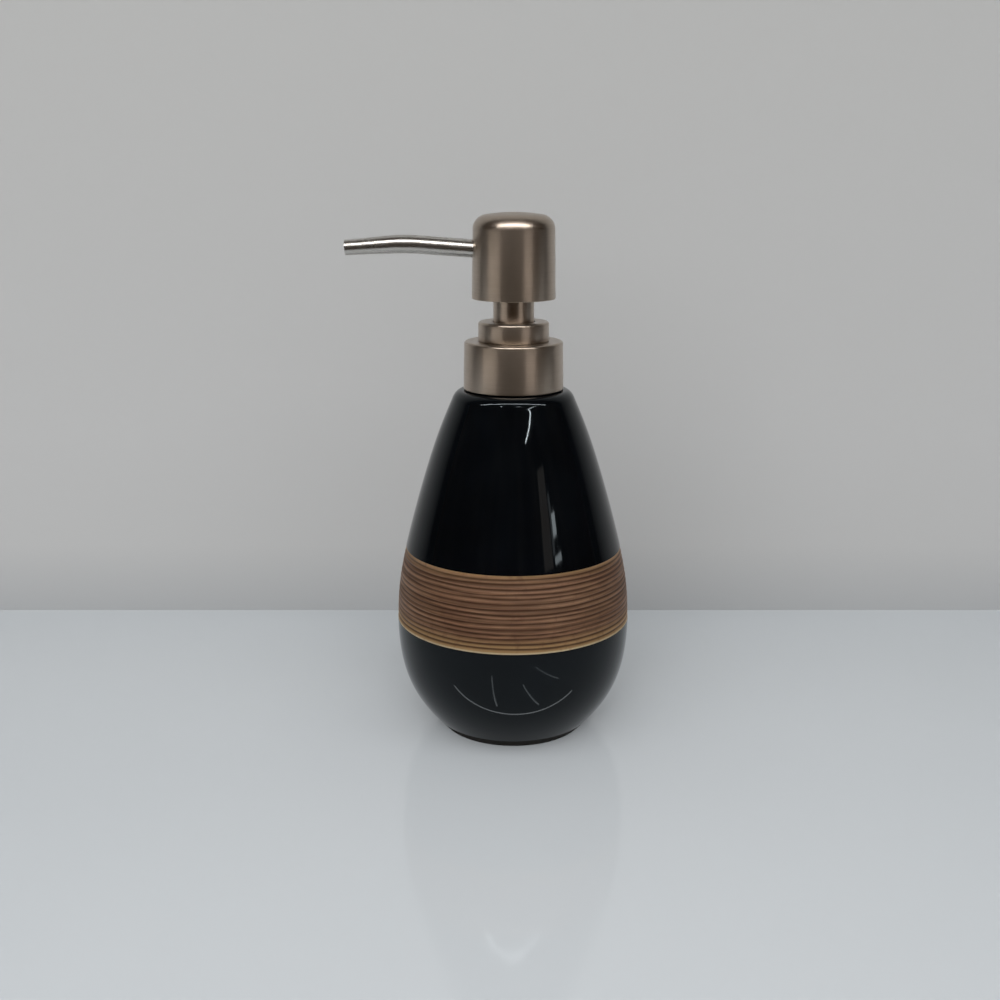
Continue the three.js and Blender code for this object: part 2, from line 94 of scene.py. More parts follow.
class Nodes:
    """A material's node tree with short calls for the nodes used here."""

    def __init__(self, name):
        self.material = bpy.data.materials.new(name)
        self.material.use_nodes = True
        self.tree = self.material.node_tree
        self.shader = self.tree.nodes["Principled BSDF"]

    def add(self, kind, inputs=(), **settings):
        node = self.tree.nodes.new(kind)
        for key, value in settings.items():
            setattr(node, key, value)
        for socket, value in dict(inputs).items():
            if isinstance(value, bpy.types.NodeSocket):
                self.tree.links.new(value, node.inputs[socket])
            else:
                node.inputs[socket].default_value = value
        return node

    def set(self, **values):
        """Sets or links the shader's sockets; an underscore stands for a space."""
        for name, value in values.items():
            socket = self.shader.inputs[name.replace("_", " ")]
            if isinstance(value, bpy.types.NodeSocket):
                self.tree.links.new(value, socket)
            else:
                socket.default_value = value
        return self

    def place(self, scale=(1, 1, 1)):
        """Object coordinates, scaled: 1 / scale is the size of a noise cell in metres."""
        coordinates = self.add("ShaderNodeTexCoord").outputs["Object"]
        return self.add("ShaderNodeMapping", {"Vector": coordinates, "Scale": scale}).outputs["Vector"]

    def noise(self, scale, detail=3.0, roughness=0.55):
        if not isinstance(scale, tuple):
            scale = (scale,) * 3
        inputs = {"Vector": self.place(scale), "Scale": 1.0, "Detail": detail, "Roughness": roughness}
        return self.add("ShaderNodeTexNoise", inputs).outputs["Fac"]

    def ramp(self, value, low, high, to_low=0.0, to_high=1.0):
        inputs = {"Value": value, "From Min": low, "From Max": high, "To Min": to_low, "To Max": to_high}
        return self.add("ShaderNodeMapRange", inputs).outputs["Result"]

    def mix(self, factor, first, second):
        node = self.add("ShaderNodeMix", data_type="RGBA")
        for index, value in ((0, factor), (6, first), (7, second)):
            if isinstance(value, bpy.types.NodeSocket):
                self.tree.links.new(value, node.inputs[index])
            else:
                node.inputs[index].default_value = value
        return node.outputs[2]

    def math(self, operation, first, second=0.0):
        return self.add("ShaderNodeMath", {0: first, 1: second}, operation=operation).outputs[0]

    def bump(self, height, distance, strength=1.0):
        inputs = {"Height": height, "Distance": distance, "Strength": strength}
        return self.add("ShaderNodeBump", inputs).outputs["Normal"]

    def attribute(self, name):
        return self.add("ShaderNodeAttribute", attribute_name=name).outputs["Fac"]


def rgb(red, green, blue):
    return (red, green, blue, 1.0)


# ------------------------------------------------------------------ materials

def black_glaze():
    """Deep glossy black glaze: almost a mirror, with the slow ripple and tiny pinholes of a dipped one."""
    n = Nodes("black_glaze")
    tone = n.ramp(n.noise(60, 4), 0.3, 0.7)
    n.set(Base_Color=n.mix(tone, rgb(0.0009, 0.0012, 0.0017), rgb(0.002, 0.0027, 0.0037)))
    n.set(Roughness=n.ramp(n.noise(240, 3), 0.3, 0.7, 0.03, 0.06), IOR=1.5)
    n.shader.inputs["Specular IOR Level"].default_value = 0.22
    n.shader.inputs["Specular Tint"].default_value = (0.84, 0.95, 1.0, 1)
    ripple = n.noise((34, 34, 22), 2, 0.4)
    ripple = n.math("ADD", ripple, n.math("MULTIPLY", n.noise(110, 2, 0.4), 0.09))
    pinholes = n.ramp(n.noise(900, 2), 0.72, 0.8)
    height = n.math("SUBTRACT", ripple, n.math("MULTIPLY", pinholes, 0.02))
    return n.set(Normal=n.bump(height, 0.25 * MM, 0.6)).material


def bronze_comb():
    """Bronze lustre over combed ridges: warm on them and streaked round the belly; dark in the grooves,
    partly from darker glaze there and partly as painted shade in the recess.
    """
    n = Nodes("bronze_comb")
    ridge = n.ramp(n.attribute("ridge"), 0.18, 0.92)
    streak = n.ramp(n.noise((34, 34, 1300), 4, 0.65), 0.4, 0.62)
    patch = n.ramp(n.noise((30, 30, 60), 3), 0.35, 0.65)
    dab = n.ramp(n.noise((420, 420, 260), 3, 0.6), 0.55, 0.72)
    brown = n.mix(patch, rgb(0.245, 0.125, 0.068), rgb(0.285, 0.165, 0.096))
    lit = n.mix(streak, n.mix(0.7, brown, rgb(0.075, 0.034, 0.017)), brown)
    gold_and_edge_highlight = n.ramp(n.attribute("gold_and_edge_highlight"), 0.0, 1.0)
    # The palest colour shows only in the painted highlight along the band's lower edge.
    golden_and_edge_highlight = n.mix(n.ramp(gold_and_edge_highlight, 0.75, 1.0), rgb(0.36, 0.225, 0.095), rgb(0.45, 0.36, 0.225))
    lit = n.mix(gold_and_edge_highlight, lit, golden_and_edge_highlight)
    # Groove colour: darker glaze, darkened further as painted shade in the recess.
    dark = n.mix(patch, rgb(0.04, 0.015, 0.006), rgb(0.058, 0.024, 0.01))
    dark = n.mix(n.math("MULTIPLY", gold_and_edge_highlight, 0.5), dark, rgb(0.14, 0.075, 0.034))
    lit = n.mix(n.math("MULTIPLY", dab, 0.4), lit, rgb(0.12, 0.056, 0.033))
    n.set(Base_Color=n.mix(ridge, dark, lit), Metallic=0.25)
    n.set(Roughness=n.ramp(streak, 0.0, 1.0, 0.55, 0.4))
    n.shader.inputs["Specular IOR Level"].default_value = 0.25
    grain = n.noise((60, 60, 3200), 3, 0.7)
    return n.set(Normal=n.bump(grain, 0.06 * MM, 0.6)).material


def clay_with_contact_shade():
    """Unglazed foot: warm dark clay, matt and slightly gritty, made darker still as painted contact shade
    where the foot meets the floor.
    """
    n = Nodes("clay_with_contact_shade")
    grit = n.noise(1400, 5, 0.7)
    # Near-black: dark clay, darkened further as painted contact shade under the belly.
    n.set(Base_Color=n.mix(n.ramp(grit, 0.3, 0.7), rgb(0.011, 0.01, 0.009), rgb(0.026, 0.023, 0.02)))
    n.set(Roughness=0.86)
    n.shader.inputs["Specular IOR Level"].default_value = 0.12
    return n.set(Normal=n.bump(grit, 0.12 * MM, 0.7)).material


def satin_nickel():
    """Warm grey satin metal, finely turned, so that its brushing runs round the axis."""
    n = Nodes("satin_nickel")
    lines = n.noise((70, 70, 5200), 3, 0.6)
    cloud = n.noise(110, 3)
    tint = n.mix(n.ramp(cloud, 0.35, 0.65), rgb(0.46, 0.385, 0.315), rgb(0.495, 0.415, 0.345))
    tint = n.mix(n.ramp(lines, 0.3, 0.7, 0.0, 0.25), tint, rgb(0.34, 0.28, 0.225))
    n.set(Base_Color=tint, Metallic=1.0)
    n.set(Roughness=n.ramp(lines, 0.3, 0.7, 0.28, 0.34))
    tangent = n.add("ShaderNodeTangent", direction_type="RADIAL", axis="Z").outputs["Tangent"]
    n.set(Anisotropic=0.4, Tangent=tangent)
    n.shader.inputs["Anisotropic Rotation"].default_value = 0.25
    return n.set(Normal=n.bump(lines, 0.02 * MM, 0.35)).material


def bright_steel():
    """Drawn steel tube: brighter, polished along its length."""
    n = Nodes("bright_steel")
    lines = n.noise((40, 2600, 2600), 2, 0.5)
    tint = n.mix(n.ramp(lines, 0.3, 0.7), rgb(0.52, 0.495, 0.46), rgb(0.59, 0.565, 0.53))
    n.set(Base_Color=tint, Metallic=1.0)
    n.set(Roughness=n.ramp(lines, 0.3, 0.7, 0.25, 0.29))
    return n.set(Normal=n.bump(lines, 0.0004 * MM, 0.15)).material


def polished_ball():
    """Bearing-steel ball with a faint smear."""
    n = Nodes("polished_ball")
    smear = n.noise(500, 3)
    n.set(Base_Color=n.mix(smear, rgb(0.6, 0.61, 0.62), rgb(0.68, 0.68, 0.68)), Metallic=1.0)
    return n.set(Roughness=n.ramp(smear, 0.3, 0.7, 0.06, 0.14)).material


def spring_wire():
    """Drawn spring wire with its dull scale."""
    n = Nodes("spring_wire")
    scale = n.noise((900, 900, 900), 4, 0.6)
    n.set(Base_Color=n.mix(scale, rgb(0.3, 0.31, 0.32), rgb(0.5, 0.5, 0.5)), Metallic=1.0)
    n.set(Roughness=n.ramp(scale, 0.3, 0.7, 0.24, 0.38))
    return n.set(Normal=n.bump(scale, 0.02 * MM, 0.4)).material


def moulded_plastic(name, dark, light, roughness, grain=1800, subsurface=0.0):
    """Injection-moulded plastic with a fine spark-eroded grain."""
    n = Nodes(name)
    texture = n.noise(grain, 4, 0.6)
    flow = n.ramp(n.noise(70, 2), 0.3, 0.7)
    n.set(Base_Color=n.mix(flow, rgb(*dark), rgb(*light)))
    n.set(Roughness=n.ramp(texture, 0.3, 0.7, roughness - 0.05, roughness + 0.07))
    n.shader.inputs["Subsurface Weight"].default_value = subsurface
    n.shader.inputs["Subsurface Scale"].default_value = 1.5 * MM
    return n.set(Normal=n.bump(texture, 0.03 * MM, 0.5)).material


# ------------------------------------------------------------------ mesh helpers

def new_piece(name, verts, faces, materials, sharp=35.0):
    """A smooth-shaded mesh object; edges over the sharp angle, in degrees, stay crisp."""
    mesh = bpy.data.meshes.new(name)
    mesh.from_pydata([tuple(v) for v in verts], [], faces)
    for material in materials:
        mesh.materials.append(material)
    mesh.validate()
    mesh.shade_smooth()
    mesh.set_sharp_from_angle(angle=math.radians(sharp))
    piece = bpy.data.objects.new(name, mesh)
    bpy.context.collection.objects.link(piece)
    return piece


def finish_piece(piece, body, nodes):
    """The piece rides on a body and stands for its CAD nodes, which are hidden."""
    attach(piece, body)
    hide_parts(*nodes)
    return piece


def rounded(corners, steps=6):
    """An outline of (radius, height) from corners (radius, height, fillet radius)."""
    points = []
    count = len(corners)
    for i, (r, z, fillet) in enumerate(corners):
        here = Vector((r, z))
        if not fillet:
            points.append(here)
            continue
        before = (Vector(corners[i - 1][:2]) - here).normalized()
        after = (Vector(corners[(i + 1) % count][:2]) - here).normalized()
        half = before.angle(after) / 2
        if half > 1.55:  # the outline runs straight on
            points.append(here)
            continue
        cut = fillet / math.tan(half)
        centre = here + (before + after).normalized() * (fillet / math.sin(half))
        start, end = here + before * cut - centre, here + after * cut - centre
        turn = start.angle_signed(end)
        for k in range(steps + 1):
            angle = turn * k / steps
            c, s = math.cos(angle), math.sin(angle)
            points.append(centre + Vector((start.x * c + start.y * s, start.y * c - start.x * s)))
    return points


def revolve(name, outline, materials, segments=96, sharp=35.0, closes=True):
    """A solid of revolution about Z. Its outline runs up the outside; a point on the axis is one vertex."""
    verts, rings = [], []
    angles = [TAU * j / segments for j in range(segments)]
    for r, z in outline:
        if abs(r) < 1e-9:
            verts.append((0.0, 0.0, z))
            rings.append([len(verts) - 1] * segments)
            continue
        first = len(verts)
        verts.extend((r * math.cos(a), r * math.sin(a), z) for a in angles)
        rings.append(list(range(first, first + segments)))
    faces = []
    pairs = list(zip(rings, rings[1:]))
    if closes:
        pairs.append((rings[-1], rings[0]))
    for low, high in pairs:
        for j in range(segments):
            k = (j + 1) % segments
            corners = [low[j], low[k], high[k], high[j]]
            faces.append(list(dict.fromkeys(corners)))
    faces = [f for f in faces if len(f) > 2]
    return new_piece(name, verts, faces, materials, sharp)


def combine(piece, tools, operation="DIFFERENCE", sharp=35.0):
    """Cuts the tools out of a piece, or joins them to it, and removes them."""
    for tool in tools:
        modifier = piece.modifiers.new("combine", "BOOLEAN")
        modifier.operation = operation
        modifier.solver = "EXACT"
        modifier.object = tool
    evaluated = piece.evaluated_get(bpy.context.evaluated_depsgraph_get())
    mesh = bpy.data.meshes.new_from_object(evaluated)
    piece.modifiers.clear()
    piece.data = mesh
    for tool in tools:
        bpy.data.objects.remove(tool)
    mesh.shade_smooth()
    mesh.set_sharp_from_angle(angle=math.radians(sharp))
    return piece


def drill(start, end, radius):
    """A round bar to cut a hole with; its radius is in mm."""
    return sweep("drill", [start, end], [radius * MM, radius * MM], [], 32)


def box_span(node):
    """Outer radius, bottom and top of a CAD node."""
    low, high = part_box(node)
    return max(high.x, -low.x), low.z, high.z


def sweep(name, centres, radii, materials, sides=24, bore=None, sharp=35.0):
    """A round bar along a list of points or, where bore gives the thickness of a wall, a tube."""
    centres = [Vector(c) for c in centres]
    count = len(centres)
    tangents = []
    for i in range(count):
        before, after = centres[max(i - 1, 0)], centres[min(i + 1, count - 1)]
        tangents.append((after - before).normalized())
    side = tangents[0].orthogonal().normalized()
    frames = []
    for tangent in tangents:
        side = (side - tangent * side.dot(tangent)).normalized()
        frames.append((side.copy(), tangent.cross(side)))

    def rings_of(inset):
        rings = []
        for centre, (u, v), radius in zip(centres, frames, radii):
            angles = [TAU * j / sides for j in range(sides)]
            rings.append([centre + (u * math.cos(a) + v * math.sin(a)) * (radius - inset) for a in angles])
        return rings

    rings = rings_of(0)
    if bore:
        rings += list(reversed(rings_of(bore)))
    verts = [v for ring in rings for v in ring]
    faces = []
    last = len(rings) if bore else len(rings) - 1
    for i in range(last):
        low, high = i * sides, ((i + 1) % len(rings)) * sides
        for j in range(sides):
            k = (j + 1) % sides
            faces.append([low + j, low + k, high + k, high + j])
    if not bore:
        faces.append(list(reversed(range(sides))))
        faces.append(list(range(len(verts) - sides, len(verts))))
    return new_piece(name, verts, faces, materials, sharp)


def natural_spline(xs, ys, at):
    """Smooth (twice differentiable) curve through the points, evaluated at the given places."""
    xs, ys = np.array(xs, float), np.array(ys, float)
    n = len(xs)
    h = np.diff(xs)
    slopes = np.diff(ys) / h
    system = np.eye(n)
    target = np.zeros(n)
    for i in range(1, n - 1):
        system[i, i - 1:i + 2] = h[i - 1], 2 * (h[i - 1] + h[i]), h[i]
        target[i] = 6 * (slopes[i] - slopes[i - 1])
    curve = np.linalg.solve(system, target)
    i = np.clip(np.searchsorted(xs, at) - 1, 0, n - 2)
    left, right = at - xs[i], xs[i + 1] - at
    return (
        (curve[i] * right ** 3 + curve[i + 1] * left ** 3) / (6 * h[i])
        + (ys[i] / h[i] - curve[i] * h[i] / 6) * right
        + (ys[i + 1] / h[i] - curve[i + 1] * h[i] / 6) * left
    )


# ------------------------------------------------------------------ the ceramic bottle

SURFACE_GAP = 0.01 * MM  # the visible surface stays this far inside the widest radius
FOOT_TOP = 0.7 * MM
# Up to the glaze line the bare foot's near-black clay also paints the contact shade under the belly.
GLAZE_LINE = 3.0 * MM  # the glaze stops here, above the bare foot
SHOULDER = 115.2 * MM
INNER_FLOOR = 6 * MM
NECK_BORE = 13.5 * MM
BAND_BOTTOM = 39.4 * MM
BAND_TOP = 64.6 * MM
BAND_EDGE = 0.3 * MM  # height over which the band's recess eases in
BAND_RECESS = 0.1 * MM
GROOVES = 15
FIRST_GROOVE = 0.7  # place of the first groove under the band's top, in grooves
GROOVE_DEPTH = 0.3 * MM
GROOVE_ABOVE = 0.3 * MM  # a groove falls steeply from the ridge over it ...
GROOVE_BELOW = 0.56 * MM  # ... and rises slowly to the ridge under it
GROOVE_SHIFT = 0.16 * MM  # how far a whole groove is out of place
GROOVE_WANDER = 0.07 * MM  # how much it wanders round the belly
HAIRS = 12  # fine scratches of the comb
HAIR_WIDTH = 0.09 * MM
BELLY = [  # height and radius of the outside, mm, fitted to the outline in the photo
    (0.7, 25.0), (6.8, 30.4), (18, 36.85), (29.2, 39.45), (39.8, 40.0), (51.5, 39.25), (62.7, 37.2),
    (73.9, 34.4), (90.7, 29.6), (107.5, 23.8), (114.4, 20.9),
]


def in_metres(points):
    """Points (radius, height) from millimetres."""
    return [Vector((r * MM, z * MM)) for r, z in points]


def belly_radius(heights):
    z, r = zip(*BELLY)
    return natural_spline([v * MM for v in z], [v * MM for v in r], np.asarray(heights, float))


def bottle_outline(top):
    """Half of the bottle's section: the foot, the outside, the lip and the inside down to its floor."""
    foot = in_metres([(0, 0), (23.5, 0), (24.1, 0.06), (24.6, 0.3)])
    comb_low, comb_high = BAND_BOTTOM - 0.5 * MM, BAND_TOP + 0.5 * MM
    step = 0.1 * MM  # between the rings of the comb
    heights = np.concatenate([
        np.linspace(FOOT_TOP, comb_low - step, 46),
        np.linspace(comb_low, comb_high, 236),
        np.linspace(comb_high + step, SHOULDER, 56),
    ])
    radii = np.minimum(belly_radius(heights), cad_bounds[1][1] - SURFACE_GAP)
    outside = [Vector((r, z)) for r, z in zip(radii, heights)]
    lip = in_metres([
        (20.28, 115.9), (19.95, 116.5), (19.5, 117.1), (19.0, 117.6), (18.5, 117.95), (17.9, 118.2),
        (17.3, top / MM)])
    ease = 0.3 * MM
    inside = rounded([
        (NECK_BORE + ease, top, 0), (NECK_BORE, top - ease, 0), (NECK_BORE, 111 * MM, 2 * MM),
        (23 * MM, 97 * MM, 60 * MM), (29.8 * MM, 74 * MM, 80 * MM), (35.3 * MM, 46 * MM, 60 * MM),
        (33.2 * MM, 22 * MM, 30 * MM), (25 * MM, INNER_FLOOR, 14 * MM), (0, INNER_FLOOR, 0)], 8)
    return foot + outside + lip + inside


def random_terms(count, orders, weights):
    """Waves round the belly, each with a whole number of periods, a phase and a weight."""
    terms = []
    for _ in range(count):
        terms.append((random.randint(*orders), random.uniform(0, TAU), random.uniform(*weights)))
    return terms


def comb_waves(seed=7):
    """For each groove and hair, its wander in height and its strength round the belly, as if held by hand."""
    random.seed(seed)
    waves = []
    for _ in range(GROOVES + HAIRS):
        slow_terms = random_terms(5, (1, 9), (0.3, 1.0))
        fine_terms = random_terms(4, (12, 40), (0.2, 0.6))
        base = random.uniform(0.72, 1.0)
        shift = random.uniform(-GROOVE_SHIFT, GROOVE_SHIFT)

        def wander(a, terms=slow_terms, shift=shift):
            return shift + GROOVE_WANDER * sum(w * np.sin(m * a + p) for m, p, w in terms)

        def strength(a, terms=slow_terms, fine=fine_terms, base=base):
            slow = sum(w * np.sin(m * a + 2 * p) for m, p, w in terms) / 5
            quick = sum(w * np.sin(m * a + p) for m, p, w in fine) / 4
            return np.clip(base + 0.25 * slow + 0.3 * quick, 0.35, 1.0)

        waves.append((wander, strength))
    return waves


def comb_marks(heights, angles):
    """How deep the grooves and the hairs cut at each point, from 0 to 1."""
    waves = comb_waves()
    pitch = (BAND_TOP - BAND_BOTTOM) / (GROOVES + FIRST_GROOVE)
    grooves = np.zeros_like(angles)
    for index, (wander, strength) in enumerate(waves[:GROOVES]):
        centre = BAND_TOP - (index + FIRST_GROOVE) * pitch + wander(angles)
        width = np.where(heights > centre, GROOVE_ABOVE, GROOVE_BELOW)
        near = np.exp(-(((heights - centre) / width) ** 2))
        grooves = np.maximum(grooves, near * strength(angles))
    hairs = np.zeros_like(angles)
    for index, (wander, strength) in enumerate(waves[GROOVES:]):
        centre = BAND_BOTTOM + (index + 0.5) / HAIRS * (BAND_TOP - BAND_BOTTOM) + 5 * wander(angles)
        near = np.exp(-((heights - centre) / HAIR_WIDTH) ** 2)
        hairs = np.maximum(hairs, 0.4 * strength(angles + index) * near)
    return grooves, hairs


def smooth_step(x):
    x = np.clip(x, 0, 1)
    return x * x * (3 - 2 * x)


def gilding_and_edge_highlights(heights):
    """How gold the lustre is: most along the band's lower edge, and a little along its upper edge; a thin
    painted highlight runs right along each edge.
    """
    above_bottom, below_top = (heights - BAND_BOTTOM) / MM, (BAND_TOP - heights) / MM
    gold_and_edge_highlight = smooth_step(1.4 - above_bottom / 4.2) * 0.74
    # Thin painted highlight right along the band's lower edge.
    gold_and_edge_highlight = np.maximum(gold_and_edge_highlight, smooth_step(1.5 - above_bottom / 0.65))
    gold_and_edge_highlight = np.maximum(gold_and_edge_highlight, 0.3 * smooth_step(1 - below_top / 3.5))
    # Thin painted highlight right along the band's upper edge.
    return np.maximum(gold_and_edge_highlight, 0.5 * smooth_step(1.5 - below_top / 0.5))


def comb_band(mesh):
    """Cuts the comb's marks, stores what the band's material reads, and says which points lie outside."""
    places = np.array([v.co for v in mesh.vertices], float)
    x, y, z = places.T
    radius = np.hypot(x, y)
    outside = radius > belly_radius(np.clip(z, 1 * MM, 114 * MM)) - 0.5 * MM
    grooves, hairs = comb_marks(z, np.arctan2(y, x))
    in_band = smooth_step((z - BAND_BOTTOM) / BAND_EDGE + 0.5) * smooth_step((BAND_TOP - z) / BAND_EDGE + 0.5)
    cut = BAND_RECESS + GROOVE_DEPTH * np.maximum(grooves, 0.35 * hairs)
    shrink = 1 - in_band * outside * cut / np.maximum(radius, 1e-6)
    mesh.vertices.foreach_set("co", np.column_stack([x * shrink, y * shrink, z]).ravel())
    ridge = np.clip(1 - np.maximum(grooves, 0.5 * hairs), 0, 1)
    for name, values in (("ridge", ridge), ("gold_and_edge_highlight", gilding_and_edge_highlights(z))):
        mesh.attributes.new(name, "FLOAT", "POINT").data.foreach_set("value", values.astype(np.float32))
    return outside


def share_out_materials(mesh, outside):
    """The glaze is the first material, the band the second and the bare foot the third."""
    for polygon in mesh.polygons:
        corners = polygon.vertices
        z = sum(mesh.vertices[i].co.z for i in corners) / len(corners)
        if all(outside[i] for i in corners) and BAND_BOTTOM < z < BAND_TOP:
            polygon.material_index = 1
        elif z < GLAZE_LINE and polygon.normal.z < 0.5:
            polygon.material_index = 2


def make_bottle():
    _, _, top = box_span("ceramic_bottle")
    materials = [black_glaze(), bronze_comb(), clay_with_contact_shade()]
    bottle = revolve("bottle", bottle_outline(top), materials, 288, sharp=50, closes=False)
    outside = comb_band(bottle.data)
    share_out_materials(bottle.data, outside)
    bottle.data.update()
    bottle.data.set_sharp_from_angle(angle=math.radians(75))
    finish_piece(bottle, "bottle", ["ceramic_bottle"])


# ------------------------------------------------------------------ metal shells of the pump

SPOUT_HOLE = 3.07 * MM  # radius of the opening that takes the spout
SPOUT_SIDE_X = -13.4 * MM  # where the spout leaves the head ...
SPOUT_SIDE_Z = 164.4 * MM  # ... and how high
SPOUT_BEND_X = -35.4 * MM
SPOUT_TIP_X = -54.8 * MM
SPOUT_RISE = 1.6 * MM  # from the head to the bend
SPOUT_DROP = 1.3 * MM  # from the bend to the tip
SPOUT_EASE = 5 * MM  # half the length of the bend
SPOUT_TIP_RADIUS = 2.5 * MM
SPOUT_WALL = 0.7 * MM
SPOUT_TAPER_START = 0.62  # as a share of the spout's length


def make_closure(nickel):
    outer, low, top = box_span("closure_shell")
    wall, eye, ceiling, draft = 0.9 * MM, 10 * MM, 0.5 * MM, 0.29 * MM
    inside = outer - wall
    closure = revolve("closure_collar", rounded([
        (inside, low, 0.15 * MM), (outer, low, 0.25 * MM), (outer - draft, top, 0.8 * MM),
        (eye, top, 0.1 * MM), (eye, top - ceiling, 0.1 * MM), (inside, top - ceiling, 0.3 * MM)]),
        [nickel], 160)
    finish_piece(closure, "closure", ["closure_shell"])


def make_chaplet(nickel):
    outer, low, top = box_span("chaplet_shell")
    eye, wall = 7.05 * MM, 0.45 * MM
    inside = outer - wall
    chaplet = revolve("chaplet_collar", rounded([
        (inside, low, 0.08 * MM), (outer, low, 0.12 * MM), (outer, top, 0.85 * MM),
        (eye, top, 0.18 * MM), (eye, top - wall, 0.05 * MM), (inside, top - wall, 0.45 * MM)]),
        [nickel], 144)
    finish_piece(chaplet, "pump", ["chaplet_shell"])


def make_sleeve(nickel):
    outer, low, top = box_span("stem_sleeve")
    inside = outer - 0.5 * MM
    sleeve = revolve("stem_tube", rounded([
        (inside, low, 0.1 * MM), (outer, low, 0.15 * MM), (outer, top, 0.1 * MM), (inside, top, 0.1 * MM)]),
        [nickel], 112)
    finish_piece(sleeve, "head", ["stem_sleeve"])


def head_crown(centre_r, centre_z, corner, top, inset):
    """Section of the head's top, from its side to the axis: a round corner that runs into a flat dome."""
    rise = top - centre_z
    dome = (centre_r ** 2 + rise ** 2 - corner ** 2) / (2 * (rise - corner))  # radius of the dome
    lean = math.atan2(centre_r, dome - rise)
    points = []
    steps = 24
    for i in range(steps + 1):
        a = (math.pi / 2 - lean) * i / steps
        r = corner - inset
        points.append(Vector((centre_r + r * math.cos(a), centre_z + r * math.sin(a))))
    steps = 12
    for i in range(1, steps + 1):
        a = lean * (1 - i / steps)
        r = dome - inset
        points.append(Vector((r * math.sin(a), top - dome + r * math.cos(a))))
    return points


def make_head(nickel):
    outer, low, top = box_span("actuator_shell")
    wall, corner, crown, draft = 0.75 * MM, 4.8 * MM, 0.7 * MM, 0.34 * MM
    edge = top - crown
    centre_r, centre_z = outer - draft - corner, edge - corner
    skirt = rounded([
        (centre_r + corner - wall, edge, 0), (outer - wall - 0.2 * MM, low, 0.12 * MM),
        (outer, low, 0.22 * MM), (centre_r + corner, edge, 0)])[1:-1]
    inner = head_crown(centre_r, centre_z, corner, top, wall)
    outside = head_crown(centre_r, centre_z, corner, top, 0)
    head = revolve("head_cap", list(reversed(inner)) + skirt + outside, [nickel], 192, closes=False)
    opening = spout_centres(-20 * MM, -6 * MM, 6)
    combine(head, [sweep("opening", opening, [SPOUT_HOLE] * len(opening), [], 64)])
    finish_piece(head, "head", ["actuator_shell"])


def spout_centres(tip_x, root_x, steps=48):
    """Centreline of the spout: it rises a little from the head, then drops after a soft bend."""
    slope = SPOUT_RISE / (SPOUT_BEND_X - SPOUT_SIDE_X)
    fall = SPOUT_DROP / (SPOUT_BEND_X - SPOUT_TIP_X)
    bend_z = SPOUT_SIDE_Z + SPOUT_RISE
    points = []
    for i in range(steps + 1):
        x = root_x + (tip_x - root_x) * i / steps
        past = (SPOUT_BEND_X - x + SPOUT_EASE) / (2 * SPOUT_EASE)
        if past <= 0:
            z = bend_z + slope * (x - SPOUT_BEND_X)
        elif past >= 1:
            z = bend_z - fall * (SPOUT_BEND_X - x)
        else:
            start, end = bend_z + slope * SPOUT_EASE, bend_z - fall * SPOUT_EASE
            z = (1 - past) ** 2 * start + 2 * past * (1 - past) * bend_z + past ** 2 * end
        points.append((x, 0.0, z))
    return points


def make_spout(steel):
    low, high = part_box("spout_tube")
    slant_room = 0.2 * MM  # the tip's end face leans, so its upper edge reaches further than its centre
    centres = spout_centres(low.x + slant_room, high.x)
    full = high.y - SURFACE_GAP
    last = len(centres) - 1
    radii = []
    for i in range(last + 1):
        tapered = smooth_step((i / last - SPOUT_TAPER_START) / (1 - SPOUT_TAPER_START))
        radii.append(full - (full - SPOUT_TIP_RADIUS) * tapered)
    spout = sweep("spout", centres, radii, [steel], sides=64, bore=SPOUT_WALL, sharp=50)
    finish_piece(spout, "head", ["spout_tube"])


# ------------------------------------------------------------------ plastic and rubber inside

THREAD_BOTTOM, THREAD_TOP, THREAD_TURNS = 121.5, 127.427, 1.4  # mm, mm and turns


def helix(radius, levels, turns):
    """Points of a helix that gets to each level after an equal share of its turns; sizes in mm."""
    points = []
    steps = int(turns * 40)
    for i in range(steps + 1):
        t = i / steps
        z = np.interp(t * (len(levels) - 1), range(len(levels)), levels)
        a = TAU * turns * t
        points.append((radius * MM * math.cos(a), radius * MM * math.sin(a), float(z) * MM))
    return points


def thread(radius, size):
    """Half-round ridge of a screw thread, running out at both ends; sizes in mm."""
    points = helix(radius, [THREAD_BOTTOM, THREAD_TOP], THREAD_TURNS)
    last = len(points) - 1
    sizes = [size * MM * max(0.15, min(1, 9 * i / last, 9 * (1 - i / last))) for i in range(last + 1)]
    return sweep("thread", points, sizes, [], 14)


def lathe(name, node, body, material, points, bevel=0.15, segments=96, closes=True):
    """A turned piece in place of a CAD node, from corners (radius, height) in mm, each eased by the bevel."""
    corners = [(r * MM, z * MM, bevel * MM if r > 0 else 0) for r, z in points]
    piece = revolve(name, rounded(corners, 3), [material], segments, closes=closes)
    return finish_piece(piece, body, [node])


def ring(name, node, body, slot, material, inner, bevel=0.1):
    """A plain ring as large as its CAD node, with an inner radius in mm."""
    outer, low, top = (v / MM for v in box_span(node))
    corners = [(inner, low), (outer, low), (outer, top), (inner, top)]
    return lathe(name, node, body, material, corners, bevel)


def make_seals(rubber, foam):
    ring("cement_ring", "insert_cement", "bottle", "silicone", rubber, 13.25, 0.04)
    ring("gasket_ring", "closure_gasket", "gasket", "foam", foam, 11.2, 0.12)
    ring("stem_wiper", "stem_seal", "pump", "silicone", rubber, 6.86, 0.15)


